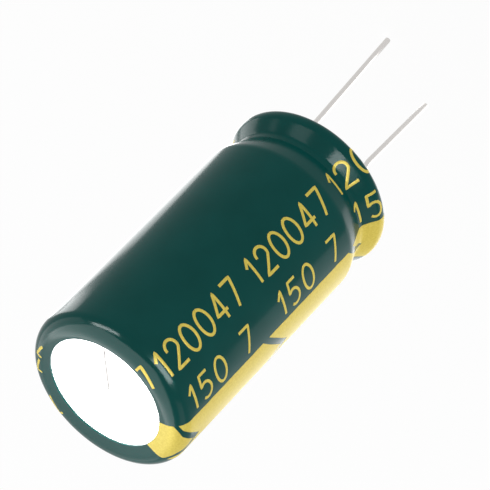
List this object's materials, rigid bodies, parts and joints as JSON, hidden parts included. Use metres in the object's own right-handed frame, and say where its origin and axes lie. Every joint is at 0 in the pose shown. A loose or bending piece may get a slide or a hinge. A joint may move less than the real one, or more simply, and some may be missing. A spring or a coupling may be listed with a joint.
{
  "type": "radial electrolytic capacitor",
  "caption": "Radial aluminium electrolytic capacitor with a green sleeve, gold print, a grooved can, a rubber seal and wire leads, one longer.",
  "frame": {"origin": "centre of the can in the plane that sits on the circuit board, at the lead end", "axes": "+Z along the can from the lead end to the closed end, X through both leads with the negative lead on +X, Y completes the right hand"},
  "size_m": [0.0181, 0.018, 0.0565],
  "materials": {
    "sleeve_film": "gloss",
    "can_metal": "satin",
    "terminal_metal": "satin",
    "lead_wire": "satin",
    "seal_rubber": "matte",
    "roll_paper": "matte",
    "roll_tape": "satin"
  },
  "bodies": {
    "root": {"can": "can_metal", "sleeve": "sleeve_film", "seal": "seal_rubber", "anode_terminal": "terminal_metal", "cathode_terminal": "terminal_metal", "anode_lead": "lead_wire", "cathode_lead": "lead_wire", "winding": "roll_paper", "winding_tape": "roll_tape"}
  },
  "joints": []
}
